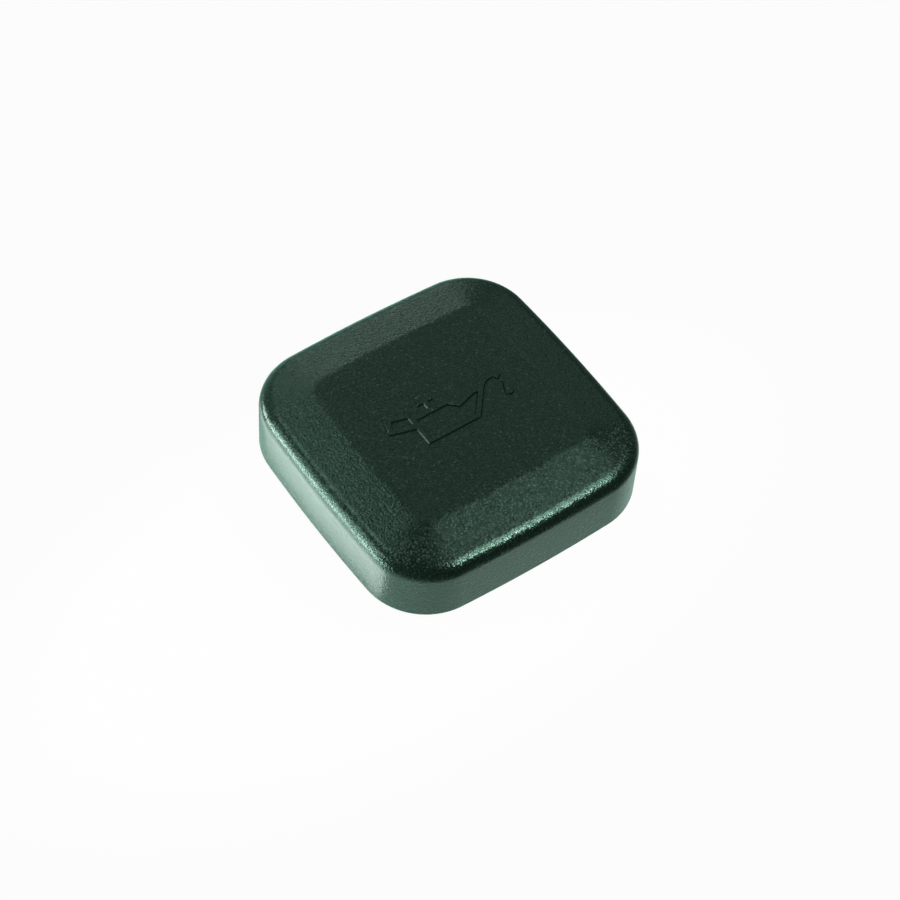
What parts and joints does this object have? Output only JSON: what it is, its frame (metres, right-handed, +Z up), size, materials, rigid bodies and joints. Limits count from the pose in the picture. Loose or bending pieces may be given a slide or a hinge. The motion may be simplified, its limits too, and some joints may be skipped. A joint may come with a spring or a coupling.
{
  "type": "oil filler cap",
  "caption": "Square quarter-turn oil filler cap: ribbed plastic cover with a sloped shoulder, snapped on to a bayonet plug with a rubber seal ring.",
  "frame": {"origin": "on the axis of the bayonet, in the sealing plane where the seal ring touches the filler neck", "axes": "+Z up out of the top of the cover; the bayonet and the pilot nose point along -Z; the sides of the square cover face X and Y, and the pictogram on top reads upright when seen from -Y"},
  "size_m": [0.0642, 0.0642, 0.0248],
  "materials": {
    "cover_plastic": "fine spark-eroded grain, dark green-black",
    "plug_plastic": "smooth moulded black glass-filled plastic",
    "seal_rubber": "matt black moulded rubber"
  },
  "bodies": {
    "root": {"cover": "cover_plastic", "bayonet_plug": "plug_plastic", "seal_ring": "seal_rubber"}
  },
  "joints": []
}
